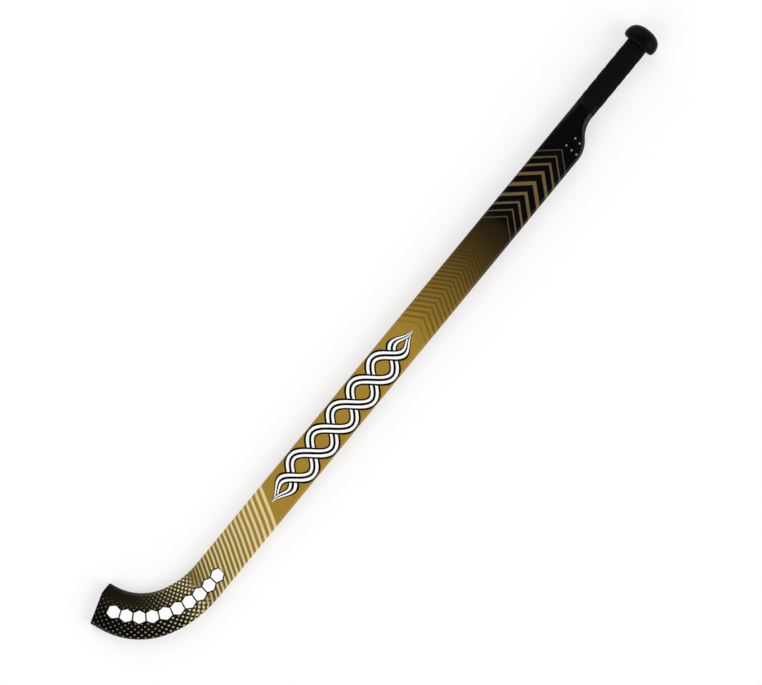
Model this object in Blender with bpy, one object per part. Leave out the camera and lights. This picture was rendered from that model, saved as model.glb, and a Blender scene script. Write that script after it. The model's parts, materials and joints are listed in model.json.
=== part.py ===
"""A goalkeeper's stick for rink hockey, lying on the back of its blade and on its knob.

A board of thin wooden plies is bent round at the blade and closed in two printed
laminate skins. Past the skins the bare wood carries an end band, a wound grip and a
rubber knob. In the stick's own frame +X runs up the shaft from the start of the bend,
y = 0 is the straight edge that the paddle and the grip share, widths go to -Y, the
toe curls up to +Y, and z = 0 is the middle of the thickness.
"""
import math

import bmesh
import bpy
from mathutils import Vector

# Paddle, the straight board between the bend and the shoulder
PADDLE_LENGTH = 0.710
PADDLE_WIDTH = 0.048
PADDLE_THICKNESS = 0.014
PADDLE_EDGE_RADIUS = 0.004

# Shoulder, the S-curve that brings the paddle down to the handle's width
SHOULDER_LENGTH = 0.052
SHOULDER_STEPS = 6

# Handle, measured over its grip, from the shoulder to the knob
HANDLE_LENGTH = 0.106
HANDLE_WIDTH = 0.028
HANDLE_THICKNESS = 0.019
HANDLE_EDGE_RADIUS = 0.0075
SKIN_TAIL = 0.003

# Blade: its inner edge turns over a wide and then a tight arc, and its outer edge turns
# with it, at the paddle's width and a flare that is greatest part of the way round
BEND_START = 0.017
HEEL_RADIUS = 0.110
HEEL_TURN = math.radians(28.0)
TOE_RADIUS = 0.067
BLADE_TURN = math.radians(80.0)
BLADE_FLARE = 0.0103
WIDEST_TURN = math.radians(56.0)
BLADE_STEP = math.radians(2.0)
GLUE_LINE_STEP = math.radians(4.0)

# Toe, cut level with the paddle first and then at a slant down to the outer edge
TOE_RISE = 0.0685
TOE_LEVEL_CUT = 0.015
TOE_SLANT = math.radians(18.5)

# Laminate skins and wooden plies
SKIN_THICKNESS = 0.0008
HANDLE_PLIES = 6
SHOULDER_PLIES = 5
WEDGES_AFTER = (4, 7)
WEDGE_TIP = 0.0005
EDGE_STEPS = 4

# Wound grip and the band that ends it
GRIP_THICKNESS = 0.0012
GRIP_PITCH = 0.018
GRIP_SEAM = 0.0005
GRIP_BEVEL = 0.0004
GRIP_CORNER_STEPS = 3
END_BAND_LENGTH = 0.012

# Knob, a mushroom of the handle's section with a socket for the end of the board
KNOB_HEIGHT = 0.0238
KNOB_OVERHANG = 0.0086
KNOB_FULLNESS = 2.4
KNOB_LIP_HEIGHT = 0.0058
KNOB_LIP_WIDTH = 0.0042
KNOB_HOLLOW = 0.001
KNOB_SOCKET_DEPTH = 0.017
KNOB_CORNER_STEPS = 8
KNOB_DOME_STEPS = 7
KNOB_LIP_STEPS = 4

# Clearance between two pieces that touch, how far a cutter passes what it cuts, half the
# least straight run between two rounded corners, and how near a plane counts as on it
GAP = 0.0003
PAST = 0.004
LEAST_FLAT = 0.00001
ON_PLANE = 0.0000001

SHOULDER_START_X = PADDLE_LENGTH
HANDLE_START_X = SHOULDER_START_X + SHOULDER_LENGTH
KNOB_FOOT_X = HANDLE_START_X + HANDLE_LENGTH
KNOB_TOP_X = KNOB_FOOT_X + KNOB_HEIGHT
SKIN_END_X = HANDLE_START_X + SKIN_TAIL
BOARD_END_X = KNOB_FOOT_X + KNOB_SOCKET_DEPTH
SKIN_INSET = SKIN_THICKNESS + GAP
GRIP_INSET = GRIP_THICKNESS + GAP
HANDLE_MIDDLE_Y = -HANDLE_WIDTH / 2
PLY_COUNT = HANDLE_PLIES + SHOULDER_PLIES


class Station:
    """One cross-section of the board, between a point on each of its edges."""

    def __init__(self, inner, outer, across, thickness, edge_radius):
        self.inner = Vector(inner)
        self.outer = Vector(outer)
        self.width = (self.outer - self.inner).dot(Vector(across))
        self.thickness = thickness
        self.edge_radius = edge_radius

    def point(self, depth, height):
        """The point at a depth below the inner edge and a height over the middle."""
        flat = self.inner.lerp(self.outer, depth / self.width)
        return Vector((flat.x, flat.y, height))


def rounded_rectangle(low, high, half_height, radius, steps):
    """Points round a rectangle from low to high, as (across, up, outward normal)."""
    radius = min(radius, (high - low) / 2 - LEAST_FLAT, half_height - LEAST_FLAT)
    corners = ((high - radius, half_height - radius), (low + radius, half_height - radius),
               (low + radius, radius - half_height), (high - radius, radius - half_height))
    points = []
    for quarter, (across, up) in enumerate(corners):
        for step in range(steps + 1):
            angle = math.pi / 2 * (quarter + step / steps)
            normal = (math.cos(angle), math.sin(angle))
            points.append((across + radius * normal[0], up + radius * normal[1], normal))
    return points


def inner_edge(turn):
    """The point of the blade's inner edge where it has turned by an angle."""
    heel = min(turn, HEEL_TURN)
    toe = max(turn, HEEL_TURN)
    x = BEND_START - HEEL_RADIUS * math.sin(heel) - TOE_RADIUS * (math.sin(toe) - math.sin(HEEL_TURN))
    y = HEEL_RADIUS * (1 - math.cos(heel)) + TOE_RADIUS * (math.cos(HEEL_TURN) - math.cos(toe))
    return x, y


def outer_edge(turn):
    """The point of the outer edge where it runs parallel to the inner edge's point."""
    rate = math.pi / 2 / WIDEST_TURN
    width = PADDLE_WIDTH + BLADE_FLARE * math.sin(rate * turn)
    growth = BLADE_FLARE * rate * math.cos(rate * turn)
    x, y = inner_edge(turn)
    return (x - width * math.sin(turn) - growth * math.cos(turn),
            y - width * math.cos(turn) + growth * math.sin(turn))


def toe_run(point):
    """A blade edge's end point, carried straight on past the toe's cuts."""
    run = TOE_RISE + PAST - point[1]
    return point[0] - run / math.tan(BLADE_TURN), point[1] + run


def blade_stations(step=BLADE_STEP):
    """Stations from past the toe to the start of the bend."""
    across = (-math.sin(BLADE_TURN), -math.cos(BLADE_TURN))
    ends = (toe_run(inner_edge(BLADE_TURN)), toe_run(outer_edge(BLADE_TURN)))
    stations = [Station(*ends, across, PADDLE_THICKNESS, PADDLE_EDGE_RADIUS)]
    count = round(BLADE_TURN / step)
    for index in range(count, -1, -1):
        turn = BLADE_TURN * index / count
        across = (-math.sin(turn), -math.cos(turn))
        stations.append(Station(inner_edge(turn), outer_edge(turn), across,
                                PADDLE_THICKNESS, PADDLE_EDGE_RADIUS))
    return stations


def straight_station(x, top=0.0, width=PADDLE_WIDTH, thickness=PADDLE_THICKNESS,
                     edge_radius=PADDLE_EDGE_RADIUS):
    return Station((x, top), (x, top - width), (0.0, -1.0), thickness, edge_radius)


def shoulder_stations():
    """Stations down the two equal arcs that join the paddle to the handle."""
    drop = PADDLE_WIDTH - HANDLE_WIDTH
    radius = (SHOULDER_LENGTH ** 2 + drop ** 2) / (4 * drop)
    turn = 2 * math.atan2(drop, SHOULDER_LENGTH)
    stations = []
    for step in range(2 * SHOULDER_STEPS + 1):
        if step <= SHOULDER_STEPS:
            angle = turn * step / SHOULDER_STEPS
            run = radius * math.sin(angle)
            rise = radius * (1 - math.cos(angle))
        else:
            angle = turn * (2 - step / SHOULDER_STEPS)
            run = SHOULDER_LENGTH - radius * math.sin(angle)
            rise = drop - radius * (1 - math.cos(angle))
        ease = (1 - math.cos(math.pi * run / SHOULDER_LENGTH)) / 2
        stations.append(straight_station(
            SHOULDER_START_X + run, 0.0, PADDLE_WIDTH - rise,
            PADDLE_THICKNESS + ease * (HANDLE_THICKNESS - PADDLE_THICKNESS),
            PADDLE_EDGE_RADIUS + ease * (HANDLE_EDGE_RADIUS - PADDLE_EDGE_RADIUS)))
    return stations


def handle_station(x, inset):
    """A station of the handle, set in on every side from the surface of its grip."""
    return straight_station(x, -inset, HANDLE_WIDTH - 2 * inset, HANDLE_THICKNESS - 2 * inset,
                            HANDLE_EDGE_RADIUS - inset)


def skin_stations(end_x):
    """Stations of the skins, from past the toe to where the grip begins."""
    return blade_stations() + shoulder_stations() + [handle_station(end_x, 0.0)]


def core_stations():
    """Stations of the wood, which is taken in under the grip as far as the grip is thick.

    They stand out by the inset of the core, which board() takes off again.
    """
    under_grip = GRIP_INSET - SKIN_INSET
    return (blade_stations() + shoulder_stations()
            + [handle_station(x, under_grip) for x in (SKIN_END_X, BOARD_END_X)])


def loft(rings):
    """A closed body through rings of as many points each, made by extruding the first."""
    mesh = bmesh.new()
    foot = [mesh.verts.new(point) for point in rings[0]]
    face = mesh.faces.new(foot)
    for ring in rings[1:]:
        face = bmesh.ops.extrude_discrete_faces(mesh, faces=[face])["faces"][0]
        for vert, point in zip(face.verts, ring):
            vert.co = point
    mesh.faces.new(foot)
    bmesh.ops.recalc_face_normals(mesh, faces=mesh.faces)
    return mesh


def cut(mesh, point, normal):
    """Cuts away what lies beyond a plane and closes the cut."""
    geometry = mesh.verts[:] + mesh.edges[:] + mesh.faces[:]
    result = bmesh.ops.bisect_plane(mesh, geom=geometry, dist=ON_PLANE, plane_co=point,
                                    plane_no=normal, clear_outer=True)
    rim = [item for item in result["geom_cut"] if isinstance(item, bmesh.types.BMEdge)]
    bmesh.ops.contextual_create(mesh, geom=rim)
    bmesh.ops.recalc_face_normals(mesh, faces=mesh.faces)


def cut_toe(mesh, inset):
    """Cuts the toe's level end and its slant, both set back by the inset."""
    end = Vector(inner_edge(BLADE_TURN))
    corner_x = end.x - (TOE_RISE - end.y) / math.tan(BLADE_TURN)
    level = Vector((0.0, 1.0, 0.0))
    slant = Vector((-math.sin(TOE_SLANT), math.cos(TOE_SLANT), 0.0))
    kink = Vector((corner_x - TOE_LEVEL_CUT, TOE_RISE, 0.0))
    cut(mesh, kink - level * inset, level)
    cut(mesh, kink - slant * inset, slant)


def board(stations, inset):
    """The board's form through its stations, set in on every side by the inset."""
    rings = []
    for station in stations:
        section = rounded_rectangle(inset, station.width - inset, station.thickness / 2 - inset,
                                    station.edge_radius - inset, EDGE_STEPS)
        rings.append([station.point(depth, height) for depth, height, _ in section])
    mesh = loft(rings)
    cut_toe(mesh, inset)
    return mesh


def glue_line(index):
    """The depth in the paddle of the glue line before a ply, or after the last.

    The plies of the handle fill its bare width, and the shoulder's plies the rest.
    """
    handle_edge = HANDLE_WIDTH - GRIP_INSET + GAP
    if index <= HANDLE_PLIES:
        return SKIN_INSET + (handle_edge - SKIN_INSET) * index / HANDLE_PLIES
    rest = PADDLE_WIDTH - SKIN_INSET - handle_edge
    return handle_edge + rest * (index - HANDLE_PLIES) / SHOULDER_PLIES


def layer_depths(station, index):
    """How deep below the inner edge one ply lies, as (from, to), at a station."""
    spread = (station.width - PADDLE_WIDTH) / len(WEDGES_AFTER)
    shift = spread * sum(1 for after in WEDGES_AFTER if index >= after)
    low = -PAST if index == 0 else glue_line(index) + shift + GAP / 2
    last = index == PLY_COUNT - 1
    high = station.width + PAST if last else glue_line(index + 1) + shift - GAP / 2
    return low, high


def wedge_depths(station, after):
    """How deep below the inner edge the wedge after some ply lies, as (from, to)."""
    low = layer_depths(station, after - 1)[1] + GAP
    high = layer_depths(station, after)[0] - GAP
    return low, high


def slab(stations, depths):
    """A layer through the stations between two depths, thicker than the board."""
    height = max(PADDLE_THICKNESS, HANDLE_THICKNESS) / 2 + PAST
    rings = []
    for station in stations:
        low, high = depths(station)
        rings.append([station.point(low, -height), station.point(high, -height),
                      station.point(high, height), station.point(low, height)])
    return loft(rings)


def material(name, color, roughness, metallic=0.0):
    result = bpy.data.materials.new(name)
    result.use_nodes = True
    shader = result.node_tree.nodes["Principled BSDF"]
    shader.inputs["Base Color"].default_value = (*color, 1.0)
    shader.inputs["Roughness"].default_value = roughness
    shader.inputs["Metallic"].default_value = metallic
    return result


def add_object(name, mesh, surface, parent):
    """Turns a bmesh into a named object of the stick."""
    data = bpy.data.meshes.new(name)
    mesh.to_mesh(data)
    mesh.free()
    data.materials.append(surface)
    data.shade_smooth()
    data.set_sharp_from_angle(angle=math.radians(35.0))
    piece = bpy.data.objects.new(name, data)
    bpy.context.scene.collection.objects.link(piece)
    piece.parent = parent
    return piece


def add_cutter(name, mesh, parent):
    """A shape that only cuts others and is no piece of the stick."""
    data = bpy.data.meshes.new(name)
    mesh.to_mesh(data)
    mesh.free()
    cutter = bpy.data.objects.new(name, data)
    bpy.context.scene.collection.objects.link(cutter)
    cutter.parent = parent
    cutter.hide_render = True
    cutter.display_type = "WIRE"
    return cutter


def add_boolean(piece, operation, cutter):
    boolean = piece.modifiers.new(f"{operation.lower()} {cutter.name}", "BOOLEAN")
    boolean.operation = operation
    boolean.solver = "EXACT"
    boolean.object = cutter


def build_skins(stick):
    """Front and back laminate, which meet along the middle of every edge."""
    surface = material("printed_laminate", (0.30, 0.21, 0.05), 0.35)
    hollow = board(skin_stations(SKIN_END_X + PAST), SKIN_THICKNESS)
    cavity = add_cutter("skin_cavity", hollow, stick)
    for name, side in (("front_skin", 1.0), ("back_skin", -1.0)):
        mesh = board(skin_stations(SKIN_END_X), 0.0)
        facing = Vector((0.0, 0.0, -side))
        cut(mesh, facing * -GAP / 2, facing)
        skin = add_object(name, mesh, surface, stick)
        add_boolean(skin, "DIFFERENCE", cavity)


def build_core(stick):
    """The plies, and the wedges between them that widen the blade."""
    surface = material("bent_wood", (0.55, 0.36, 0.18), 0.6)
    core = add_cutter("core_form", board(core_stations(), SKIN_INSET), stick)
    blade = blade_stations(GLUE_LINE_STEP)
    stations = blade + [straight_station(BOARD_END_X + PAST)]
    for index in range(PLY_COUNT):
        mesh = slab(stations, lambda station: layer_depths(station, index))
        ply = add_object(f"core_ply_{index + 1}", mesh, surface, stick)
        add_boolean(ply, "INTERSECT", core)
    for number, after in enumerate(WEDGES_AFTER, 1):
        def depths(station):
            return wedge_depths(station, after)
        wide = [station for station in blade if depths(station)[1] - depths(station)[0] > WEDGE_TIP]
        wedge = add_object(f"blade_wedge_{number}", slab(wide, depths), surface, stick)
        add_boolean(wedge, "INTERSECT", core)


def handle_section(offset, steps=EDGE_STEPS):
    """Round the bare handle at a distance outside it, as (y, z, outward normal)."""
    half_width = HANDLE_WIDTH / 2 - GRIP_INSET + offset
    half_height = HANDLE_THICKNESS / 2 - GRIP_INSET + offset
    radius = HANDLE_EDGE_RADIUS - GRIP_INSET + offset
    return [(HANDLE_MIDDLE_Y + across, up, normal) for across, up, normal
            in rounded_rectangle(-half_width, half_width, half_height, radius, steps)]


def handle_sleeve(offset, low_x, high_x):
    """A straight body along the handle whose surface lies at a distance outside it."""
    section = handle_section(offset)
    return loft([[Vector((x, y, z)) for y, z, _ in section] for x in (low_x, high_x)])


def grip_path():
    """The bare handle's contour once round, as (y, z, normal, share of a turn)."""
    contour = handle_section(0.0, GRIP_CORNER_STEPS)
    lengths = [0.0]
    for (y0, z0, _), (y1, z1, _) in zip(contour, contour[1:] + contour[:1]):
        lengths.append(lengths[-1] + math.hypot(y1 - y0, z1 - z0))
    return [(*sample, length / lengths[-1]) for sample, length in zip(contour, lengths)]


def build_grip(stick):
    """One unbroken band wound up the handle, trimmed square at both ends."""
    low_x = SKIN_END_X + GAP + END_BAND_LENGTH + GAP
    high_x = KNOB_FOOT_X - GAP
    half = (GRIP_PITCH - GRIP_SEAM) / 2
    side = GRIP_INSET - GRIP_BEVEL
    profile = ((-half, GAP), (half, GAP), (half, side), (half - GRIP_BEVEL, GRIP_INSET),
               (GRIP_BEVEL - half, GRIP_INSET), (-half, side))
    turns = math.ceil((high_x - low_x) / GRIP_PITCH) + 1
    rings = []
    for turn in range(turns):
        for y, z, normal, share in grip_path():
            x = low_x + GRIP_PITCH * (turn + share - 0.5)
            rings.append([Vector((x + along, y + out * normal[0], z + out * normal[1]))
                          for along, out in profile])
    a_turn = len(grip_path())
    least = min((b[0] - a[1]).length for a, b in zip(rings, rings[a_turn:]))
    print(f"least gap between the grip's turns: {least * 1000:.2f} mm")
    mesh = loft(rings)
    cut(mesh, Vector((low_x, 0.0, 0.0)), Vector((-1.0, 0.0, 0.0)))
    cut(mesh, Vector((high_x, 0.0, 0.0)), Vector((1.0, 0.0, 0.0)))
    add_object("grip_wrap", mesh, material("grip", (0.012, 0.012, 0.012), 0.7), stick)


def build_end_band(stick):
    """The band round the handle where the grip ends at the shoulder."""
    low_x = SKIN_END_X + GAP
    high_x = low_x + END_BAND_LENGTH
    sleeve = handle_sleeve(GRIP_INSET, low_x, high_x)
    band = add_object("grip_end_band", sleeve, material("band", (0.01, 0.01, 0.01), 0.4), stick)
    bore = add_cutter("end_band_bore", handle_sleeve(GAP, low_x - PAST, high_x + PAST), stick)
    add_boolean(band, "DIFFERENCE", bore)


def knob_profile():
    """The knob's outline from its top to its foot, as (x, share of full width, inset).

    The first ring stands half a step from the pole, which leaves the top a small flat.
    """
    dome_height = KNOB_HEIGHT - KNOB_LIP_HEIGHT
    power = 2 / KNOB_FULLNESS
    outline = []
    for step in range(KNOB_DOME_STEPS, 0, -1):
        angle = math.pi / 2 * step / (KNOB_DOME_STEPS + 0.5)
        outline.append((KNOB_TOP_X - dome_height * (1 - math.sin(angle) ** power),
                        math.cos(angle) ** power, 0.0))
    for step in range(KNOB_LIP_STEPS + 1):
        angle = math.pi / 2 * step / KNOB_LIP_STEPS
        outline.append((KNOB_FOOT_X + KNOB_LIP_HEIGHT * (1 - math.sin(angle)),
                        1.0, KNOB_LIP_WIDTH * (1 - math.cos(angle))))
    return outline


def knob_ring(x, share, inset):
    """A ring of the knob: its full section drawn in by a share, then by an inset."""
    half_width, half_height, radius = (
        share * (size + KNOB_OVERHANG) - inset
        for size in (HANDLE_WIDTH / 2, HANDLE_THICKNESS / 2, HANDLE_EDGE_RADIUS))
    section = rounded_rectangle(-half_width, half_width, half_height, radius, KNOB_CORNER_STEPS)
    return [Vector((x, HANDLE_MIDDLE_Y + across, up)) for across, up, _ in section]


def build_knob(stick):
    """The rubber knob, whose socket takes the end of the board."""
    rings = [knob_ring(*place) for place in knob_profile()]
    rings.append(knob_ring(KNOB_FOOT_X + KNOB_HOLLOW, 1.0, KNOB_OVERHANG))
    knob = add_object("end_knob", loft(rings), material("rubber", (0.015, 0.015, 0.015), 0.55), stick)
    socket = handle_sleeve(GAP, KNOB_FOOT_X - PAST, BOARD_END_X + GAP)
    add_boolean(knob, "DIFFERENCE", add_cutter("knob_socket", socket, stick))


def lay_down(stick):
    """Leans the stick onto knob and blade, and centres its box over the origin."""
    knob_x = KNOB_FOOT_X + KNOB_LIP_HEIGHT
    toe_x = outer_edge(BLADE_TURN)[0]
    drop = HANDLE_THICKNESS / 2 + KNOB_OVERHANG - PADDLE_THICKNESS / 2
    stick.rotation_euler.y = -math.atan2(drop, knob_x - toe_x)
    bpy.context.view_layer.update()
    graph = bpy.context.evaluated_depsgraph_get()
    corners = []
    for piece in bpy.context.scene.objects:
        if piece.type == "MESH" and not piece.hide_render:
            solid = piece.evaluated_get(graph)
            corners += [solid.matrix_world @ vert.co for vert in solid.data.vertices]
    low = Vector([min(corner[axis] for corner in corners) for axis in range(3)])
    high = Vector([max(corner[axis] for corner in corners) for axis in range(3)])
    middle = (low + high) / 2
    stick.location = (-middle.x, -middle.y, -low.z)
    bpy.context.view_layer.update()


def main():
    for leftover in list(bpy.data.objects):
        bpy.data.objects.remove(leftover, do_unlink=True)
    stick = bpy.data.objects.new("stick", None)
    bpy.context.scene.collection.objects.link(stick)
    build_core(stick)
    build_skins(stick)
    build_end_band(stick)
    build_grip(stick)
    build_knob(stick)
    lay_down(stick)


main()
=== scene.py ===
"""Looks of a goalkeeper's stick for rink hockey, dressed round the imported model.

Each piece is made in the stick's own frame: +X runs up the shaft from the start of the
bend, y = 0 is the straight edge, widths go to -Y, the toe curls up to +Y, and z = 0 is
the middle of the thickness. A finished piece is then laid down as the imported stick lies.
"""

import json
import math

import bmesh
import bpy
from mathutils import Matrix, Vector


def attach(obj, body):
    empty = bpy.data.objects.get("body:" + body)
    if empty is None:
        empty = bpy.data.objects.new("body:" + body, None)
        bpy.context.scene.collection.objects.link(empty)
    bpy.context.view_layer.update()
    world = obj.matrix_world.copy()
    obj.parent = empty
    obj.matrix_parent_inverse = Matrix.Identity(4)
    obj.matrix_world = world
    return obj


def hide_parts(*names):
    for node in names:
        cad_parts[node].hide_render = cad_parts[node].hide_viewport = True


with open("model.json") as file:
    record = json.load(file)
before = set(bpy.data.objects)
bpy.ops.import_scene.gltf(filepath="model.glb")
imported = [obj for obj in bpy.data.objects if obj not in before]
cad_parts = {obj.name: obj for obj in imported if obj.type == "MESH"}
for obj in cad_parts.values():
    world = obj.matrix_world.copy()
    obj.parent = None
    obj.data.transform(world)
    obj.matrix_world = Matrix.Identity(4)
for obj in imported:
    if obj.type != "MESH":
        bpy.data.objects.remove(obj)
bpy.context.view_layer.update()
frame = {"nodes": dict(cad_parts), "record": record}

# Board: straight paddle, shoulder and handle
PADDLE_LENGTH = 0.710
PADDLE_WIDTH = 0.048
PADDLE_THICKNESS = 0.014
PADDLE_EDGE_RADIUS = 0.004
SHOULDER_LENGTH = 0.052
HANDLE_LENGTH = 0.106
HANDLE_WIDTH = 0.028
HANDLE_THICKNESS = 0.019
HANDLE_EDGE_RADIUS = 0.0075
SKIN_TAIL = 0.003
SKIN_THICKNESS = 0.0008
SEAM = 0.0003
TIGHT_SEAM = 0.00002

# Blade: a wide and then a tight arc, widened outward by a flare
BEND_START = 0.017
HEEL_RADIUS = 0.110
HEEL_TURN = math.radians(28.0)
TOE_RADIUS = 0.067
BLADE_TURN = math.radians(80.0)
BLADE_FLARE = 0.0103
WIDEST_TURN = math.radians(56.0)
TOE_RISE = 0.0685
TOE_LEVEL_CUT = 0.015
TOE_SLANT = math.radians(18.5)
TOE_EDGE_RADIUS = 0.0012
PAST_TOE = 0.030

# Wound grip, end band and knob
GRIP_THICKNESS = 0.0012
GRIP_PITCH = 0.018
GRIP_CROWN = 0.00025
END_BAND_LENGTH = 0.012
END_BAND_ROUNDING = 0.0005
KNOB_HEIGHT = 0.0238
KNOB_OVERHANG = 0.0086
KNOB_FULLNESS = 2.4
KNOB_LIP_HEIGHT = 0.0058
KNOB_LIP_WIDTH = 0.0042
KNOB_HOLLOW = 0.001

# The grip band's rounded edge, as distances in from its side and down from its top
GRIP_EDGE_ROUNDING = ((0.0, 0.0006), (0.0003, 0.0002), (0.0009, 0.0001))

# How finely the rounded forms are stepped
EDGE_STEPS = 6
SHOULDER_STEPS = 24
BEND_STEP = math.radians(1.0)
TOE_EDGE_STEPS = 3
GRIP_CORNER_STEPS = 6
KNOB_ROUND_STEPS = 64
KNOB_DOME_STEPS = 16
KNOB_LIP_STEPS = 8

# The profile of a bevel that is an arc of a circle
ROUND_PROFILE = 0.5

# What counts as a sharp edge, as on a plane, and as facing one way
SHARP_ANGLE = math.radians(40.0)
ON_PLANE = 0.0000001
LEAST_FACING = 0.5

# The print has one map at its full length, and one folded into rows that fill a square
PRINT_MAP = "print"
FOLDED_MAP = "OFBake"
FOLD_ROWS = 3
FOLD_START = (-0.152, -0.009)
FOLD_SIZE = (0.307, 0.078)
FOLD_MARGIN = 0.005

# The print as a whole, from the toe to the grip, and how sharp its shapes are
PRINT_ENDS = (-0.150, 0.770)
PRINT_EDGE = 0.00015

# Darkening of the blade, outward and towards the toe
DARK_DEPTH = (0.014, 0.042)
DARK_ALONG = (0.012, -0.058)

# Chevron bars under the handle; here and below, widths and blurs of lines are shares of the pitch
BARS_ZONE = (0.594, 0.7125)
BAR_SLOPE = 0.9
BAR_COUNT = 9
BAR_CROWDING = 0.35
BAR_WIDTHS = (0.13, 0.36)
BAR_BLUR = 0.02

# Fine chevrons of the fade
FADE_ZONE = (0.412, 0.572)
FADE_SLOPE = 0.6
FADE_COUNT = 16.0
FADE_CROWDING = 9.0
FADE_WIDTHS = (0.32, 0.62)
FADE_BLUR = 0.10
FADE_RUN_IN = 0.030
FADE_RUN_OUT = 0.010
FADE_INK = 0.5

# Slanted stripes above the blade; their count goes by the metre
STRIPES_ZONE = (-0.030, 0.134)
STRIPES_FULL = 0.030
STRIPE_SLOPE = 0.55
STRIPE_COUNT = 102.0
STRIPE_CROWDING = 250.0
STRIPE_WIDTHS = (0.34, 0.48)
STRIPE_BLUR = 0.05
STRIPE_INK = 0.9

# Staggered dots of the blade, which leave its inner side bare near the toe
DOTS_ZONE = (-0.150, 0.010)
DOT_PITCH = 0.0070
DOT_SIZES = (0.30, 0.60)
DOT_BLUR = 0.06
DOTS_RUN_OUT = (0.002, -0.016)
BARE_ALONG = (-0.105, -0.030)
BARE_DEPTH = (0.010, 0.026)

# Row of tiles round the bend
TILE_PITCH = 0.0158
TILES_ZONE = (-8 * TILE_PITCH, 2 * TILE_PITCH)
TILE_ROW = 0.0298
TILE_HALF_HEIGHT = 0.0084
TILE_OUTLINE = 0.0016
TILE_SLOPE = 0.5

# Twist of two ribbons on the bare gold
TWIST_ZONE = (0.137, 0.414)
TWIST_TURNS = 3.5
TWIST_HEIGHT = 0.0163
TWIST_TAPER = 0.046
TWIST_OVERRUN = 0.002
CROSSING_BLUR = 0.05
STRAND_HALF_WIDTH = 0.0049
STRAND_CORE = 0.0016
STRAND_OUTLINE = 0.0024
STRAND_TIP = 0.001
STRAND_TAPER_POWER = 0.4

# Small dots where the paddle narrows
SHOULDER_DOTS = (
    (0.7150, 0.0250), (0.7145, 0.0340), (0.7141, 0.0420), (0.7288, 0.0281), (0.7274, 0.0365))
SHOULDER_DOT_RADIUS = 0.0015

# Camera over the face of the stick, which crosses the picture at a slant
CAMERA_POINT = (-0.0057, -0.0128)
CAMERA_HEIGHT = 7.956
CAMERA_SLANT = math.radians(-50.57)
CAMERA_LENS = 300.0
CAMERA_SENSOR = 36.0

# Studio: lamps by name, strength and bearing, the floor, and how light the room is
LAMPS = (("lamp_left", 1.55, math.radians(20.0)), ("lamp_right", 1.05, math.radians(140.0)),
         ("lamp_back", 0.95, math.radians(260.0)))
LAMP_SPREAD = math.radians(50.0)
LAMP_SLANT = math.radians(50.0)
FLOOR_REACH = 20.0
FLOOR_DROP = 0.0002
FLOOR_GLOW = 0.55
ROOM_EASE = (0.85, 0.1)
ROOM_LIGHT = 0.06

# Places that follow from the sizes above
HANDLE_START_X = PADDLE_LENGTH + SHOULDER_LENGTH
SKIN_END_X = HANDLE_START_X + SKIN_TAIL
KNOB_FOOT_X = HANDLE_START_X + HANDLE_LENGTH
KNOB_TOP_X = KNOB_FOOT_X + KNOB_HEIGHT
GRIP_INSET = GRIP_THICKNESS + SEAM
HEEL_CENTRE = Vector((BEND_START, HEEL_RADIUS, 0.0))
TOE_CENTRE = HEEL_CENTRE - (HEEL_RADIUS - TOE_RADIUS) * Vector(
    (math.sin(HEEL_TURN), math.cos(HEEL_TURN), 0.0))
TOE_NORMALS = (
    Vector((0.0, 1.0, 0.0)), Vector((-math.sin(TOE_SLANT), math.cos(TOE_SLANT), 0.0)))


def look_down():
    """The camera, straight over the stick."""
    lens = bpy.data.cameras.new("camera")
    lens.lens = CAMERA_LENS
    lens.sensor_width = CAMERA_SENSOR
    camera = bpy.data.objects.new("camera", lens)
    camera.location = (*CAMERA_POINT, CAMERA_HEIGHT)
    camera.rotation_euler = (0.0, 0.0, CAMERA_SLANT)
    bpy.context.scene.collection.objects.link(camera)
    bpy.context.scene.camera = camera
    bpy.context.scene.view_settings.view_transform = "Standard"


def lay_down_matrix():
    """From the stick's own frame to the floor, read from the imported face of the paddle."""
    face = next(mount for mount in frame["record"]["mounts"] if mount["name"] == "paddle_front")
    up = Vector(face["axis"]).normalized()
    shaft = Vector((up.z, 0.0, -up.x))
    turn = Matrix((shaft, up.cross(shaft), up)).transposed().to_4x4()
    middle = Vector((PADDLE_LENGTH / 2, -PADDLE_WIDTH / 2, PADDLE_THICKNESS / 2))
    place = Vector(face["pos_m"]) - turn.to_3x3() @ middle
    return Matrix.Translation(place) @ turn


LAY_DOWN = lay_down_matrix()


# Shapes

class Sweep:
    """A rounded rectangle, standing across the stick, that is extruded from place to place."""

    def __init__(self, corner_steps):
        radius = 0.5
        self.mesh = bmesh.new()
        bmesh.ops.create_grid(self.mesh, x_segments=1, y_segments=1, size=1.0)
        bmesh.ops.bevel(self.mesh, geom=self.mesh.verts[:], offset=radius, affect="VERTICES",
                        segments=corner_steps, profile=ROUND_PROFILE, material=-1)
        self.face = self.mesh.faces[:][0]
        self.foot = self.face.verts[:]
        self.corners = []
        for vert in self.foot:
            side = Vector((math.copysign(1.0, vert.co.x), math.copysign(1.0, vert.co.y)))
            self.corners.append((side, (vert.co.xy - side * (1 - radius)) / radius))

    def shape(self, x, low, high, half_height, radius):
        """Sets the last section down at x, from low to high across the stick."""
        for vert, (side, lean) in zip(self.face.verts, self.corners):
            across = (low + high) / 2 + side.x * ((high - low) / 2 - radius) + lean.x * radius
            vert.co = (x, across, side.y * (half_height - radius) + lean.y * radius)

    def extrude(self):
        """Starts the next section where the last one stands."""
        self.face = bmesh.ops.extrude_discrete_faces(self.mesh, faces=[self.face])["faces"][0]
        return self.face.verts[:]

    def push(self, way):
        """Extrudes the section straight along a way."""
        verts = self.extrude()
        bmesh.ops.translate(self.mesh, verts=verts, vec=way)
        return verts

    def turn(self, centre, angle):
        """Extrudes the section round a centre."""
        verts = self.extrude()
        spin = Matrix.Rotation(-angle, 3, "Z")
        bmesh.ops.rotate(self.mesh, verts=verts, cent=centre, matrix=spin)
        return verts


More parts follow.
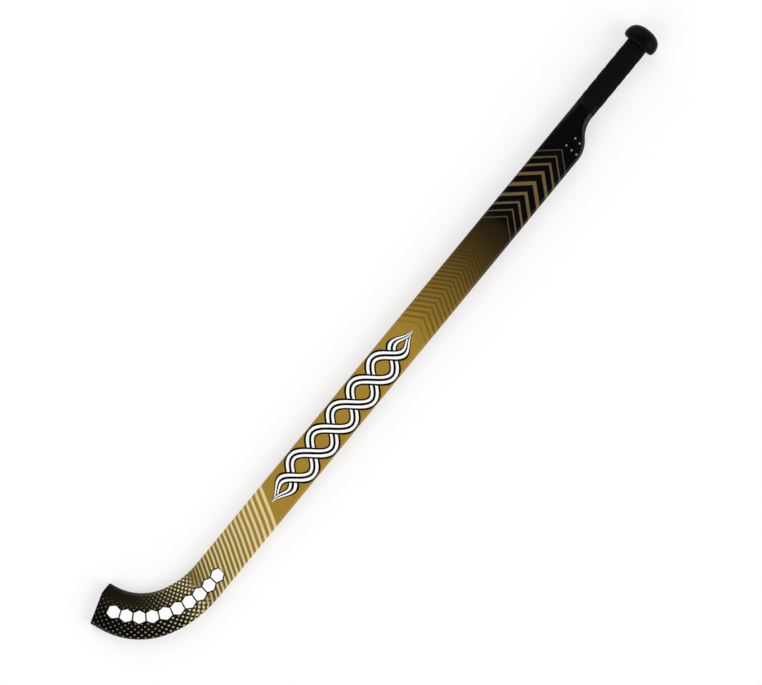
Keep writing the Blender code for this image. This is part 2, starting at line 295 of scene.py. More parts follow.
class OvalSweep(Sweep):
    """The same with a full oval round the handle's axis in place of the rounded rectangle."""

    def __init__(self, steps):
        self.mesh = bmesh.new()
        bmesh.ops.create_circle(self.mesh, cap_ends=True, segments=steps, radius=1.0)
        self.face = self.mesh.faces[:][0]
        self.foot = self.face.verts[:]
        power = 2 / KNOB_FULLNESS
        self.corners = [[math.copysign(abs(lean) ** power, lean) for lean in vert.co.xy]
                        for vert in self.foot]

    def shape(self, x, half_width, half_height):
        """Sets the last section down at x, round the middle of the handle."""
        for vert, (across, up) in zip(self.face.verts, self.corners):
            vert.co = (x, across * half_width - HANDLE_WIDTH / 2, up * half_height)


def shoulder_section(share):
    """The board's section part of the way up the shoulder's two equal arcs."""
    drop = PADDLE_WIDTH - HANDLE_WIDTH
    radius = (SHOULDER_LENGTH ** 2 + drop ** 2) / (4 * drop)
    angle = 2 * math.atan2(drop, SHOULDER_LENGTH) * (1 - abs(1 - 2 * share))
    run = radius * math.sin(angle)
    rise = radius * (1 - math.cos(angle))
    if share > 0.5:
        run = SHOULDER_LENGTH - run
        rise = drop - rise
    ease = (1 - math.cos(math.pi * run / SHOULDER_LENGTH)) / 2
    thickness = PADDLE_THICKNESS + ease * (HANDLE_THICKNESS - PADDLE_THICKNESS)
    edge = PADDLE_EDGE_RADIUS + ease * (HANDLE_EDGE_RADIUS - PADDLE_EDGE_RADIUS)
    return PADDLE_LENGTH + run, rise - PADDLE_WIDTH, 0.0, thickness / 2, edge


def outward(turn):
    """The way out of the bend after a turn."""
    return Vector((-math.sin(turn), -math.cos(turn), 0.0))


def ahead(turn):
    """The way on towards the toe after a turn."""
    return Vector((-math.cos(turn), math.sin(turn), 0.0))


def flare(verts, turn):
    """Widens a section of the blade outward, and leans it as the flare grows."""
    centre, radius = (HEEL_CENTRE, HEEL_RADIUS) if turn < HEEL_TURN else (TOE_CENTRE, TOE_RADIUS)
    rate = math.pi / 2 / WIDEST_TURN
    shift = BLADE_FLARE * (math.sin(rate * turn) * outward(turn)
                           + rate * math.cos(rate * turn) * ahead(turn))
    for vert in verts:
        depth = (vert.co - centre).dot(outward(turn)) - radius
        vert.co += shift * depth / PADDLE_WIDTH


def cut(mesh, point, normal, close=True):
    """Cuts away what lies beyond a plane, and closes the cut unless it is to stay open."""
    geometry = mesh.verts[:] + mesh.edges[:] + mesh.faces[:]
    result = bmesh.ops.bisect_plane(mesh, geom=geometry, dist=ON_PLANE, plane_co=point,
                                    plane_no=normal, clear_outer=True)
    if close:
        rim = [item for item in result["geom_cut"] if isinstance(item, bmesh.types.BMEdge)]
        bmesh.ops.contextual_create(mesh, geom=rim)


def toe_kink():
    """Where the level cut of the toe meets the slanted one."""
    end = TOE_CENTRE + TOE_RADIUS * outward(BLADE_TURN)
    corner_x = end.x - (TOE_RISE - end.y) / math.tan(BLADE_TURN)
    return Vector((corner_x - TOE_LEVEL_CUT, TOE_RISE, 0.0))


def on_toe_end(face):
    """Whether a face lies on either cut of the toe or on its rounded rim."""
    arm = face.calc_center_median() - toe_kink()
    return any(face.normal.dot(normal) > LEAST_FACING and abs(arm.dot(normal)) < TOE_EDGE_RADIUS
               for normal in TOE_NORMALS)


def cut_toe(mesh):
    """Cuts the toe level and then at a slant, and rounds the edges of the cut."""
    for normal in TOE_NORMALS:
        cut(mesh, toe_kink(), normal)
    bmesh.ops.recalc_face_normals(mesh, faces=mesh.faces)
    rims = [edge for edge in mesh.edges if any(on_toe_end(face) for face in edge.link_faces)]
    bmesh.ops.bevel(mesh, geom=rims, offset=TOE_EDGE_RADIUS, affect="EDGES",
                    segments=TOE_EDGE_STEPS, profile=ROUND_PROFILE, material=-1)


def fold_x(row):
    """Where a row of the folded print begins along the stick."""
    return FOLD_START[0] + row * FOLD_SIZE[0]


def board():
    """The whole lacquered surface of the board, open where the grip begins."""
    sweep = Sweep(EDGE_STEPS)
    sweep.shape(SKIN_END_X, -HANDLE_WIDTH, 0.0, HANDLE_THICKNESS / 2, HANDLE_EDGE_RADIUS)
    for step in range(SHOULDER_STEPS, -1, -1):
        sweep.extrude()
        sweep.shape(*shoulder_section(step / SHOULDER_STEPS))
    x = PADDLE_LENGTH
    for next_x in (*[fold_x(row) for row in range(FOLD_ROWS - 1, 0, -1)], BEND_START):
        verts = sweep.push((next_x - x, 0.0, 0.0))
        x = next_x
    rings = [(verts, 0.0)]
    for centre, start, end in ((HEEL_CENTRE, 0.0, HEEL_TURN), (TOE_CENTRE, HEEL_TURN, BLADE_TURN)):
        steps = round((end - start) / BEND_STEP)
        for step in range(1, steps + 1):
            verts = sweep.turn(centre, (end - start) / steps)
            rings.append((verts, start + (end - start) * step / steps))
    for verts, turn in rings:
        flare(verts, turn)
    sweep.push(PAST_TOE * ahead(BLADE_TURN))
    cut_toe(sweep.mesh)
    return sweep.mesh


def print_place(point):
    """How far along the stick and how deep below its inner edge a point lies."""
    if point.x >= BEND_START:
        return point.x, -point.y
    half = PADDLE_WIDTH / 2
    arm = point - HEEL_CENTRE
    turn = math.atan2(-arm.x, -arm.y)
    if turn < HEEL_TURN:
        return BEND_START - (HEEL_RADIUS + half) * turn, arm.xy.length - HEEL_RADIUS
    heel_end = BEND_START - (HEEL_RADIUS + half) * HEEL_TURN
    arm = point - TOE_CENTRE
    turn = math.atan2(-arm.x, -arm.y)
    if turn < BLADE_TURN:
        return heel_end - (TOE_RADIUS + half) * (turn - HEEL_TURN), arm.xy.length - TOE_RADIUS
    toe_start = heel_end - (TOE_RADIUS + half) * (BLADE_TURN - HEEL_TURN)
    return toe_start - arm.dot(ahead(BLADE_TURN)), arm.dot(outward(BLADE_TURN)) - TOE_RADIUS


def edge_wrap(height):
    """How much longer the way round the rounded edge is than it seems from above."""
    drop = max(PADDLE_THICKNESS / 2 - abs(height), 0.0)
    if drop > PADDLE_EDGE_RADIUS:
        return PADDLE_EDGE_RADIUS * (math.pi / 2 - 1) + drop - PADDLE_EDGE_RADIUS
    angle = math.acos(1 - drop / PADDLE_EDGE_RADIUS)
    return PADDLE_EDGE_RADIUS * (angle - math.sin(angle))


def folded(row, along, across):
    """A place of the print in its row of the square picture."""
    share = (along - fold_x(row)) / FOLD_SIZE[0]
    depth = (across - FOLD_START[1]) / FOLD_SIZE[1]
    return FOLD_MARGIN + (1 - 2 * FOLD_MARGIN) * share, (row + depth) / FOLD_ROWS


def map_print(mesh):
    """Gives each corner its place in the print, which goes on round the edges and the toe."""
    for name in (PRINT_MAP, FOLDED_MAP):
        mesh.loops.layers.uv.new(name)
    whole = mesh.loops.layers.uv[PRINT_MAP]
    rows = mesh.loops.layers.uv[FOLDED_MAP]
    for face in mesh.faces:
        at_toe = on_toe_end(face)
        middle, _ = print_place(face.calc_center_median())
        row = math.floor((middle - fold_x(0)) / FOLD_SIZE[0])
        for loop in face.loops:
            height = loop.vert.co.z
            along, across = print_place(loop.vert.co)
            if at_toe:
                along -= PADDLE_THICKNESS / 2 - abs(height)
            else:
                across += math.copysign(edge_wrap(height), across - PADDLE_WIDTH / 2)
            loop[whole].uv = (along, across)
            loop[rows].uv = folded(row, along, across)


def smooth(data):
    """Shades rounded forms smoothly and keeps true edges sharp."""
    data.shade_smooth()
    data.set_sharp_from_angle(angle=SHARP_ANGLE)


def add_piece(name, mesh, finish, node):
    """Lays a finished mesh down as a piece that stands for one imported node."""
    bmesh.ops.transform(mesh, matrix=LAY_DOWN, verts=mesh.verts)
    data = bpy.data.meshes.new(name)
    mesh.to_mesh(data)
    mesh.free()
    data.materials.append(finish)
    smooth(data)
    piece = bpy.data.objects.new(name, data)
    bpy.context.scene.collection.objects.link(piece)
    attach(piece, "root")
    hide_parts(node)
    return piece


def even_shading(piece):
    """Keeps the broad flat faces flat in the light beside their rounded edges."""
    shading = piece.modifiers.new("even shading", "WEIGHTED_NORMAL")
    shading.keep_sharp = True


def make_skin(name, node, side, finish):
    """One printed laminate, wrapped over its half of the board with its own wall."""
    mesh = board()
    facing = Vector((0.0, 0.0, side))
    cut(mesh, facing * TIGHT_SEAM / 2, -facing, close=False)
    bmesh.ops.recalc_face_normals(mesh, faces=mesh.faces)
    map_print(mesh)
    skin = add_piece(name, mesh, finish, node)
    wall = skin.modifiers.new("wall", "SOLIDIFY")
    wall.thickness = SKIN_THICKNESS
    wall.offset = -1.0
    wall.use_even_offset = True
    # The wall is made real first, so that its rims are marked as sharp edges too
    walled = skin.evaluated_get(bpy.context.evaluated_depsgraph_get())
    skin.data = bpy.data.meshes.new_from_object(walled)
    skin.modifiers.clear()
    smooth(skin.data)
    even_shading(skin)


def handle_sizes(offset):
    """The bare handle's section, grown by an offset, as Sweep.shape takes it after x."""
    inset = GRIP_INSET - offset
    return (inset - HANDLE_WIDTH, -inset, HANDLE_THICKNESS / 2 - inset, HANDLE_EDGE_RADIUS - inset)


def make_end_band(finish):
    """The tape band that ends the grip, rounded where it stands proud."""
    low_x = SKIN_END_X + TIGHT_SEAM
    sweep = Sweep(GRIP_CORNER_STEPS)
    sweep.shape(low_x, *handle_sizes(SEAM))
    steps = ((0.0, END_BAND_ROUNDING), (END_BAND_ROUNDING, 0.0))
    for along, sunk in steps:
        sweep.extrude()
        sweep.shape(low_x + along, *handle_sizes(GRIP_INSET - sunk))
    for along, sunk in reversed(steps):
        sweep.extrude()
        sweep.shape(low_x + END_BAND_LENGTH - along, *handle_sizes(GRIP_INSET - sunk))
    sweep.extrude()
    sweep.shape(low_x + END_BAND_LENGTH, *handle_sizes(SEAM))
    mesh = sweep.mesh
    mesh.faces.remove(sweep.face)
    bmesh.ops.bridge_loops(mesh, edges=[edge for edge in mesh.edges if edge.is_boundary])
    bmesh.ops.recalc_face_normals(mesh, faces=mesh.faces)
    band = add_piece("end_band", mesh, finish, "grip_end_band")
    even_shading(band)


def handle_contour():
    """Once round the bare handle: places as (y, z), outward normals and shares of a turn."""
    sweep = Sweep(GRIP_CORNER_STEPS)
    sweep.shape(0.0, *handle_sizes(0.0))
    places = [vert.co.yz for vert in sweep.foot]
    normals = [lean.normalized() for _, lean in sweep.corners]
    sweep.mesh.free()
    lengths = [0.0]
    for place, following in zip(places, places[1:] + places[:1]):
        lengths.append(lengths[-1] + (following - place).length)
    return [(place, normal, length / lengths[-1])
            for place, normal, length in zip(places, normals, lengths)]


def make_grip(finish):
    """One soft band, wound up the handle into the hollow of the knob, and trimmed square."""
    low_x = SKIN_END_X + 2 * TIGHT_SEAM + END_BAND_LENGTH
    high_x = KNOB_FOOT_X + KNOB_HOLLOW - TIGHT_SEAM
    half = (GRIP_PITCH - TIGHT_SEAM) / 2
    crown = GRIP_INSET + GRIP_CROWN
    side = [(half - inward, GRIP_INSET - sunk) for inward, sunk in GRIP_EDGE_ROUNDING]
    side.append((half / 2, crown))
    other_side = [(-along, out) for along, out in reversed(side)]
    profile = [(-half, SEAM), (half, SEAM), *side, (0.0, crown), *other_side]
    mesh = bmesh.new()
    face = mesh.faces.new([mesh.verts.new((along, 0.0, out)) for along, out in profile])
    foot = face.verts[:]
    turns = math.ceil((high_x - low_x) / GRIP_PITCH) + 1
    contour = handle_contour()
    for turn in range(turns):
        for place, normal, share in contour:
            if turn or share:
                face = bmesh.ops.extrude_discrete_faces(mesh, faces=[face])["faces"][0]
            x = low_x + GRIP_PITCH * (turn + share - 0.5)
            for vert, (along, out) in zip(face.verts, profile):
                vert.co = (x + along, *(place + out * normal))
    mesh.faces.new(foot)
    cut(mesh, Vector((low_x, 0.0, 0.0)), Vector((-1.0, 0.0, 0.0)))
    cut(mesh, Vector((high_x, 0.0, 0.0)), Vector((1.0, 0.0, 0.0)))
    bmesh.ops.recalc_face_normals(mesh, faces=mesh.faces)
    add_piece("grip_band", mesh, finish, "grip_wrap")


def knob_sizes(share, inset):
    """Half the knob's full width and height, drawn in by a share and then by an inset."""
    return [share * (size / 2 + KNOB_OVERHANG) - inset for size in (HANDLE_WIDTH, HANDLE_THICKNESS)]


def make_knob(finish):
    """The moulded rubber knob: a dome over a rounded lip, hollowed a little underneath."""
    sweep = OvalSweep(KNOB_ROUND_STEPS)
    sweep.shape(KNOB_FOOT_X + KNOB_HOLLOW, *knob_sizes(1.0, KNOB_OVERHANG - SEAM))
    for step in range(KNOB_LIP_STEPS + 1):
        angle = math.pi / 2 * step / KNOB_LIP_STEPS
        sweep.extrude()
        sweep.shape(KNOB_FOOT_X + KNOB_LIP_HEIGHT * (1 - math.cos(angle)),
                    *knob_sizes(1.0, KNOB_LIP_WIDTH * (1 - math.sin(angle))))
    dome_height = KNOB_HEIGHT - KNOB_LIP_HEIGHT
    power = 2 / KNOB_FULLNESS
    for step in range(1, KNOB_DOME_STEPS):
        angle = math.pi / 2 * step / KNOB_DOME_STEPS
        sweep.extrude()
        sweep.shape(KNOB_FOOT_X + KNOB_LIP_HEIGHT + dome_height * math.sin(angle) ** power,
                    *knob_sizes(math.cos(angle) ** power, 0.0))
    sweep.push((0.0, 0.0, 0.0))
    bmesh.ops.pointmerge(sweep.mesh, verts=sweep.face.verts,
                         merge_co=Vector((KNOB_TOP_X, -HANDLE_WIDTH / 2, 0.0)))
    sweep.mesh.faces.new(sweep.foot)
    bmesh.ops.recalc_face_normals(sweep.mesh, faces=sweep.mesh.faces)
    add_piece("knob", sweep.mesh, finish, "end_knob")


# Finishes

def tone(red, green, blue):
    """A colour as it is seen, from 0 to 255, turned into light by the sRGB curve."""
    shares = [value / 255 for value in (red, green, blue)]
    return (*[share / 12.92 if share < 0.04045 else ((share + 0.055) / 1.055) ** 2.4
              for share in shares], 1.0)


class Field:
    """A number that varies over a surface, worked out by nodes."""

    def __init__(self, tree, socket):
        self.tree = tree
        self.socket = socket

    def math(self, operation, *others):
        """One step of arithmetic, with plain numbers or other fields."""
        node = self.tree.nodes.new("ShaderNodeMath")
        node.operation = operation
        for socket, value in zip(node.inputs, (self, *others)):
            if isinstance(value, Field):
                self.tree.links.new(value.socket, socket)
            else:
                socket.default_value = value
        return Field(self.tree, node.outputs[0])

    def __add__(self, other):
        return self.math("ADD", other)

    def __sub__(self, other):
        return self.math("SUBTRACT", other)

    def __mul__(self, other):
        return self.math("MULTIPLY", other)

    def __truediv__(self, other):
        return self.math("DIVIDE", other)

    def size(self):
        """The number without its sign."""
        return self.math("ABSOLUTE")

    def rise(self, start, end):
        """0 up to start, 1 past end, eased between; falls where end is the lower."""
        node = self.tree.nodes.new("ShaderNodeMapRange")
        node.interpolation_type = "SMOOTHSTEP"
        self.tree.links.new(self.socket, node.inputs["Value"])
        flip = end < start
        node.inputs["From Min"].default_value = end if flip else start
        node.inputs["From Max"].default_value = start if flip else end
        node.inputs["To Min"].default_value = 1.0 if flip else 0.0
        node.inputs["To Max"].default_value = 0.0 if flip else 1.0
        return Field(self.tree, node.outputs["Result"])

    def between(self, start, end):
        """Runs evenly from 0 at start to 1 at end, and stays inside them."""
        node = self.tree.nodes.new("ShaderNodeMapRange")
        self.tree.links.new(self.socket, node.inputs["Value"])
        node.inputs["From Min"].default_value = start
        node.inputs["From Max"].default_value = end
        return Field(self.tree, node.outputs["Result"])

    def mix(self, low, high):
        """Runs from low to high as the number goes from 0 to 1."""
        return self * (high - low) + low

    def inside(self, start, end, blur):
        """1 from start to end and 0 beyond them, with both borders blurred inward."""
        return self.rise(start, start + blur) * self.rise(end, end - blur)

    def under(self, limit, blur):
        """1 where the number is under a limit, which is blurred to both sides."""
        return (self - limit).rise(blur, -blur)

    def fold(self):
        """How far from the middle of its unit cell the number is, from 0 to 1."""
        return ((self.math("FRACT") - 0.5) * 2.0).size()


class Finish:
    """A material whose colour is painted in coats, one over another."""

    def __init__(self, name, roughness, specular=0.5):
        self.material = bpy.data.materials.new(name)
        self.material.use_nodes = True
        self.tree = self.material.node_tree
        self.shader = self.tree.nodes["Principled BSDF"]
        self.shader.inputs["Roughness"].default_value = roughness
        self.shader.inputs["Specular IOR Level"].default_value = specular

    def node(self, kind, **inputs):
        """A new node, with some of its inputs set to values or linked to sockets."""
        node = self.tree.nodes.new(kind)
        for name, value in inputs.items():
            socket = node.inputs[name.replace("_", " ")]
            if hasattr(value, "is_output"):
                self.tree.links.new(value, socket)
            else:
                socket.default_value = value
        return node

    def object_place(self):
        """The place on the object that is shaded, in the object's own frame."""
        return self.node("ShaderNodeTexCoord").outputs["Object"]

    def noise(self, place, scale, detail=3.0):
        """Cloudy noise over a surface, from 0 to 1."""
        node = self.node("ShaderNodeTexNoise", Vector=place, Scale=scale, Detail=detail)
        return Field(self.tree, node.outputs[0])

    def stretched(self, scale):
        """The object's own place, stretched by a scale along each axis."""
        return self.node("ShaderNodeMapping", Vector=self.object_place(), Scale=scale).outputs[0]

    def coat(self, below, above, amount):
        """One colour laid over another, as far as a field says."""
        node = self.tree.nodes.new("ShaderNodeMix")
        node.data_type = "RGBA"
        self.tree.links.new(amount.socket, node.inputs[0])
        for socket, colour in ((node.inputs[6], below), (node.inputs[7], above)):
            if hasattr(colour, "is_output"):
                self.tree.links.new(colour, socket)
            else:
                socket.default_value = colour
        return node.outputs[2]

    def ramp(self, field, start, end, stops):
        """Colours at places between start and end of a field."""
        node = self.tree.nodes.new("ShaderNodeValToRGB")
        self.tree.links.new(field.between(start, end).socket, node.inputs[0])
        points = node.color_ramp.elements
        while len(points) < len(stops):
            points.new(0.5)
        for point, (place, colour) in zip(points, stops):
            point.position = (place - start) / (end - start)
            point.color = colour
        return node.outputs[0]

    def paint(self, colour):
        """Gives the surface its colour."""
        self.tree.links.new(colour, self.shader.inputs["Base Color"])

    def roughen(self, field, low, high):
        """Lets the roughness wander between two values."""
        node = self.node("ShaderNodeMapRange", Value=field.socket, To_Min=low, To_Max=high)
        self.tree.links.new(node.outputs[0], self.shader.inputs["Roughness"])

    def bump(self, height, depth):
        """Raises the surface by a field, at most by a depth in metres."""
        node = self.node("ShaderNodeBump", Height=height.socket, Distance=depth, Strength=1.0)
        self.tree.links.new(node.outputs[0], self.shader.inputs["Normal"])


# Colours, as they are seen

BLACK = tone(4, 3, 3)
WHITE = tone(252, 252, 252)
GOLD = tone(159, 127, 47)
PALE_GOLD = tone(227, 208, 154)
DARK_BROWN = tone(48, 36, 14)
BRONZE = tone(108, 90, 55)
DULL_BRONZE = tone(76, 64, 50)
GREY = tone(130, 130, 136)
SOOT = tone(2, 2, 2)
TAPE_BLACK = tone(5, 5, 5)
WORN_BLACK = tone(7, 7, 7)
PALE_WOOD = tone(214, 178, 128)
DARK_WOOD = tone(150, 108, 64)
PAPER_WHITE = tone(253, 253, 253)
PAPER_GREY = tone(250, 250, 250)
PURE_WHITE = (1.0, 1.0, 1.0, 1.0)


def ground(finish, along, across):
    """The base colours of the print, which run into each other along the stick."""
    stops = ((-0.150, tone(20, 16, 5)), (-0.100, tone(28, 22, 6)), (-0.060, tone(36, 30, 10)),
             (-0.030, tone(62, 52, 22)), (0.000, tone(94, 79, 36)), (0.040, tone(126, 106, 52)),
             (0.090, tone(149, 125, 64)), (0.140, GOLD), (0.405, GOLD), (0.442, tone(140, 112, 42)),
             (0.487, tone(115, 91, 34)), (0.529, tone(79, 62, 23)), (0.562, DARK_BROWN),
             (0.582, tone(34, 25, 11)), (0.594, BLACK))
    colour = finish.ramp(along, *PRINT_ENDS, stops)
    return finish.coat(colour, BLACK, across.rise(*DARK_DEPTH) * along.rise(*DARK_ALONG))


def bars(finish, below, along, middle):
    """Straight chevron bars on black, thin at both ends of the zone and bold between."""
    lean = along + middle.size() * BAR_SLOPE
    place = lean.between(*BARS_ZONE)
    count = place * BAR_COUNT + (place * (2 * math.pi)).math("SINE") * BAR_CROWDING
    bold = (place * math.pi).math("SINE")
    ink = count.fold().under(bold.mix(*BAR_WIDTHS), BAR_BLUR)
    bar = finish.coat(DULL_BRONZE, BRONZE, bold)
    return finish.coat(below, bar, ink * lean.inside(*BARS_ZONE, PRINT_EDGE))


def fade(finish, below, along, middle):
    """Fine dark chevrons that crowd together up the paddle until they close."""
    start, end = FADE_ZONE
    lean = along + middle.size() * FADE_SLOPE
    place = lean.between(start, end)
    count = place * FADE_COUNT + place * place * FADE_CROWDING
    ink = count.fold().under(place.mix(*FADE_WIDTHS), FADE_BLUR)
    strength = lean.rise(start, start + FADE_RUN_IN) * lean.rise(end, end - FADE_RUN_OUT)
    return finish.coat(below, DARK_BROWN, ink * strength * FADE_INK)


def stripes(finish, below, along, middle):
    """Straight slanted stripes in pale gold, closer and fainter towards the blade."""
    start, end = STRIPES_ZONE
    lean = along + middle * STRIPE_SLOPE
    run = lean * -1.0 + end
    count = run * STRIPE_COUNT + run * run * STRIPE_CROWDING
    ink = count.fold().under(lean.between(start, end).mix(*STRIPE_WIDTHS), STRIPE_BLUR)
    strength = lean.rise(start, STRIPES_FULL) * lean.rise(end, end - PRINT_EDGE) * STRIPE_INK
    return finish.coat(below, PALE_GOLD, ink * strength)


def speckles(finish, below, along, across):
    """Small round dots in staggered rows, cream at the heel and greyer towards the toe."""
    first = ((along + across) / DOT_PITCH).fold()
    second = ((along - across) / DOT_PITCH).fold()
    reach = (first * first + second * second).math("SQRT")
    dot = reach.under(along.between(*DOTS_ZONE).mix(*DOT_SIZES), DOT_BLUR)
    strength = along.rise(*BARE_ALONG).math("MAXIMUM", across.rise(*BARE_DEPTH))
    strength = strength * along.rise(*DOTS_RUN_OUT)
    stops = ((-0.150, tone(96, 94, 88)), (-0.070, tone(146, 138, 108)),
             (-0.020, tone(230, 220, 182)))
    return finish.coat(below, finish.ramp(along, *DOTS_ZONE, stops), dot * strength)


def tiles(finish, below, along, across):
    """A row of white six-sided tiles with black edges round the bend."""
    from_row = (across - TILE_ROW).size()
    from_middle = (along / TILE_PITCH).fold() * (TILE_PITCH / 2)
    side = from_middle - (TILE_PITCH / 2 - TILE_OUTLINE / 2)
    point = (from_row + from_middle * TILE_SLOPE - TILE_HALF_HEIGHT) / math.hypot(1.0, TILE_SLOPE)
    reach = side.math("MAXIMUM", point)
    zone = along.inside(*TILES_ZONE, PRINT_EDGE)
    outlined = finish.coat(below, BLACK, reach.rise(TILE_OUTLINE, TILE_OUTLINE - PRINT_EDGE) * zone)
    return finish.coat(outlined, WHITE, reach.rise(0.0, -PRINT_EDGE) * zone)


def strand(finish, below, distance, share):
    """A white ribbon with a dark core line and dark edges, by the distance from its middle."""
    spread = distance / share
    outline = STRAND_HALF_WIDTH + STRAND_OUTLINE
    dark = finish.coat(below, BLACK, spread.rise(outline, outline - PRINT_EDGE))
    white = spread.rise(STRAND_HALF_WIDTH, STRAND_HALF_WIDTH - PRINT_EDGE)
    white = white * spread.rise(STRAND_CORE - PRINT_EDGE, STRAND_CORE)
    return finish.coat(dark, WHITE, white)


def twist(finish, below, along, middle):
    """Two ribbons twisted round each other along the bare gold of the paddle."""
    start, end = TWIST_ZONE
    rate = 2 * math.pi * TWIST_TURNS / (end - start)
    turn = (along - start) * rate
    taper = along.inside(start - TWIST_OVERRUN, end + TWIST_OVERRUN, TWIST_OVERRUN + TWIST_TAPER)
    height = taper * TWIST_HEIGHT
    slope = turn.math("COSINE") * height * rate
    stretch = (slope * slope + 1.0).math("SQRT")
    swing = turn.math("SINE") * height
    first = (middle - swing).size() / stretch
    second = (middle + swing).size() / stretch
    share = (taper + STRAND_TIP).math("POWER", STRAND_TAPER_POWER)
    first_over = strand(finish, strand(finish, below, second, share), first, share)
    second_over = strand(finish, strand(finish, below, first, share), second, share)
    crossing = turn.math("COSINE").rise(-CROSSING_BLUR, CROSSING_BLUR)
    twisted = finish.coat(second_over, first_over, crossing)
    return finish.coat(below, twisted, along.inside(start, end, PRINT_EDGE))


def shoulder_dots(finish, below, along, across):
    """Five small dots in two rows where the paddle narrows."""
    for x, depth in SHOULDER_DOTS:
        squares = (along - x).math("POWER", 2.0) + (across - depth).math("POWER", 2.0)
        distance = squares.math("SQRT")
        dot = distance.rise(SHOULDER_DOT_RADIUS, SHOULDER_DOT_RADIUS - 2 * PRINT_EDGE)
        below = finish.coat(below, GREY, dot)
    return below


def printed_lacquer():
    """The printed laminate under a thin gloss lacquer."""
    finish = Finish("printed_lacquer", roughness=0.3, specular=0.14)
    place = finish.tree.nodes.new("ShaderNodeUVMap")
    place.uv_map = PRINT_MAP
    split = finish.node("ShaderNodeSeparateXYZ", Vector=place.outputs[0])
    along = Field(finish.tree, split.outputs[0])
    across = Field(finish.tree, split.outputs[1])
    middle = across - PADDLE_WIDTH / 2
    colour = ground(finish, along, across)
    colour = fade(finish, colour, along, middle)
    colour = bars(finish, colour, along, middle)
    colour = speckles(finish, colour, along, across)
    colour = stripes(finish, colour, along, middle)
    colour = tiles(finish, colour, along, across)
    colour = twist(finish, colour, along, middle)
    colour = shoulder_dots(finish, colour, along, across)
    own_place = finish.object_place()
    flecks = finish.noise(own_place, scale=900.0)
    finish.paint(finish.coat(colour, BLACK, flecks.rise(0.35, 0.9) * 0.10))
    finish.shader.inputs["Coat Weight"].default_value = 0.08
    finish.shader.inputs["Coat Roughness"].default_value = 0.12
    finish.roughen(finish.noise(own_place, scale=60.0), low=0.25, high=0.34)
    finish.bump(finish.noise(own_place, scale=420.0, detail=1.0), depth=0.00001)
    return finish.material


def soft_grip():
    """Matt black grip band with a fine pebbled grain."""
    finish = Finish("soft_grip", roughness=0.7, specular=0.07)
    place = finish.object_place()
    grain = finish.node("ShaderNodeTexVoronoi", Vector=place, Scale=1100.0)
    pebble = Field(finish.tree, grain.outputs["Distance"])
    finish.paint(finish.coat(WORN_BLACK, SOOT, pebble.rise(0.2, 0.8)))
    finish.roughen(finish.noise(place, scale=80.0), low=0.62, high=0.76)
    finish.bump(pebble, depth=0.00008)
    return finish.material


def vinyl_band():
    """Smooth black tape, drawn tight with faint lines round the handle."""
    finish = Finish("vinyl_band", roughness=0.5, specular=0.1)
    lines = finish.noise(finish.stretched((1400.0, 60.0, 60.0)), scale=1.0)
    finish.paint(finish.coat(TAPE_BLACK, SOOT, lines))
    finish.roughen(lines, low=0.42, high=0.6)
    finish.bump(lines, depth=0.00003)
    return finish.material


def knob_rubber():
    """Black moulded rubber with a faint bloom."""
    finish = Finish("knob_rubber", roughness=0.45, specular=0.06)
    place = finish.object_place()
    bloom = finish.noise(place, scale=45.0, detail=5.0)
    finish.paint(finish.coat(SOOT, WORN_BLACK, bloom.rise(0.45, 0.8)))
    finish.roughen(bloom, low=0.38, high=0.52)
    finish.bump(finish.noise(place, scale=1500.0, detail=2.0), depth=0.00003)
    return finish.material


def bent_wood():
    """Pale ply with its grain along the board."""
    finish = Finish("bent_wood", roughness=0.6, specular=0.3)
    grain = finish.noise(finish.stretched((9.0, 260.0, 260.0)), scale=1.0, detail=6.0)
    finish.paint(finish.coat(PALE_WOOD, DARK_WOOD, grain.rise(0.35, 0.7)))
    finish.roughen(grain, low=0.5, high=0.7)
    finish.bump(grain, depth=0.00004)
    return finish.material


def dress_core():
    """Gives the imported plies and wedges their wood."""
    wood = bent_wood()
    for name, node in frame["nodes"].items():
        if name.startswith(("core_ply", "blade_wedge")):
            for place in node.material_slots:
                place.material = wood


# Studio

def add_lamp(name, strength, bearing):
    """A broad soft lamp, which shines down at a slant."""
    light = bpy.data.lights.new(name, "SUN")
    light.energy = strength
    light.angle = LAMP_SPREAD
    lamp = bpy.data.objects.new(name, light)
    lamp.rotation_euler = (LAMP_SLANT, 0.0, bearing)
    bpy.context.scene.collection.objects.link(lamp)


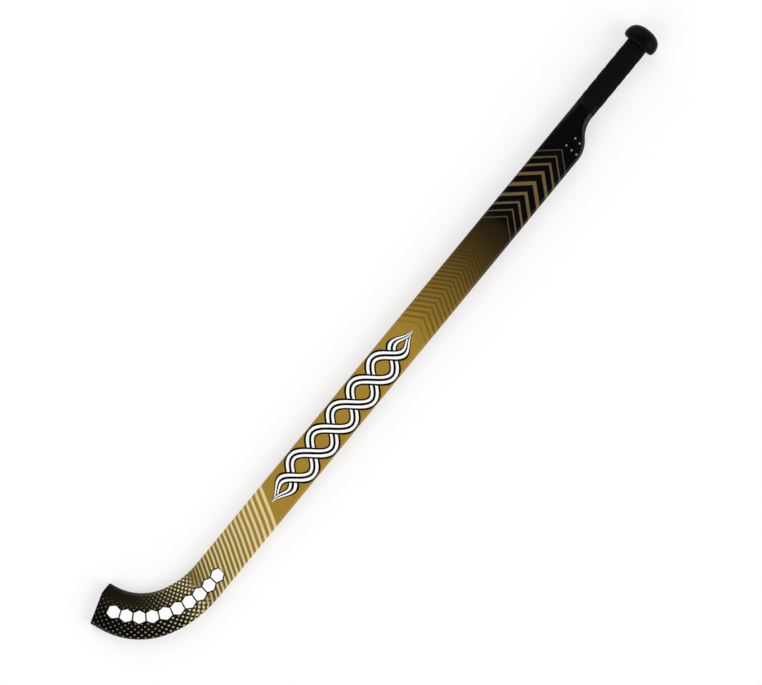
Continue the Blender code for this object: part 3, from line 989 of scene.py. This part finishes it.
def floor_paper():
    """White paper that glows a little where it is seen, so that its shadows stay light."""
    finish = Finish("floor_paper", roughness=0.9, specular=0.1)
    grain = finish.noise(finish.object_place(), scale=300.0)
    finish.paint(finish.coat(PAPER_WHITE, PAPER_GREY, grain))
    seen = finish.node("ShaderNodeLightPath").outputs
    amount = Field(finish.tree, seen["Is Camera Ray"])
    for ray in ("Is Glossy Ray", "Is Transmission Ray"):
        amount = amount.math("MAXIMUM", Field(finish.tree, seen[ray]))
    glow = finish.node("ShaderNodeEmission", Color=PURE_WHITE, Strength=1.0)
    mix = finish.tree.nodes.new("ShaderNodeMixShader")
    finish.tree.links.new((amount * FLOOR_GLOW).socket, mix.inputs[0])
    finish.tree.links.new(finish.shader.outputs[0], mix.inputs[1])
    finish.tree.links.new(glow.outputs[0], mix.inputs[2])
    output = finish.tree.nodes["Material Output"]
    finish.tree.links.new(mix.outputs[0], output.inputs["Surface"])
    return finish.material


def add_floor():
    """The white paper that the stick lies on."""
    mesh = bmesh.new()
    bmesh.ops.create_grid(mesh, x_segments=1, y_segments=1, size=FLOOR_REACH)
    bmesh.ops.translate(mesh, verts=mesh.verts, vec=(0.0, 0.0, -FLOOR_DROP))
    data = bpy.data.meshes.new("floor")
    mesh.to_mesh(data)
    mesh.free()
    data.materials.append(floor_paper())
    floor = bpy.data.objects.new("floor", data)
    bpy.context.scene.collection.objects.link(floor)


def light_room():
    """A room that is pale low down and dim above."""
    world = bpy.data.worlds.new("room")
    bpy.context.scene.world = world
    world.use_nodes = True
    tree = world.node_tree
    place = tree.nodes.new("ShaderNodeTexCoord")
    split = tree.nodes.new("ShaderNodeSeparateXYZ")
    tree.links.new(place.outputs["Generated"], split.inputs[0])
    level = Field(tree, split.outputs[2]).size().rise(*ROOM_EASE) + ROOM_LIGHT
    tree.links.new(level.socket, tree.nodes["Background"].inputs["Strength"])
    tree.nodes["Background"].inputs["Color"].default_value = PURE_WHITE


def main():
    """Dresses the stick and sets up its picture."""
    look_down()
    lacquer = printed_lacquer()
    make_skin("front_print", "front_skin", 1.0, lacquer)
    make_skin("back_print", "back_skin", -1.0, lacquer)
    make_end_band(vinyl_band())
    make_grip(soft_grip())
    make_knob(knob_rubber())
    dress_core()
    add_floor()
    for lamp in LAMPS:
        add_lamp(*lamp)
    light_room()


main()
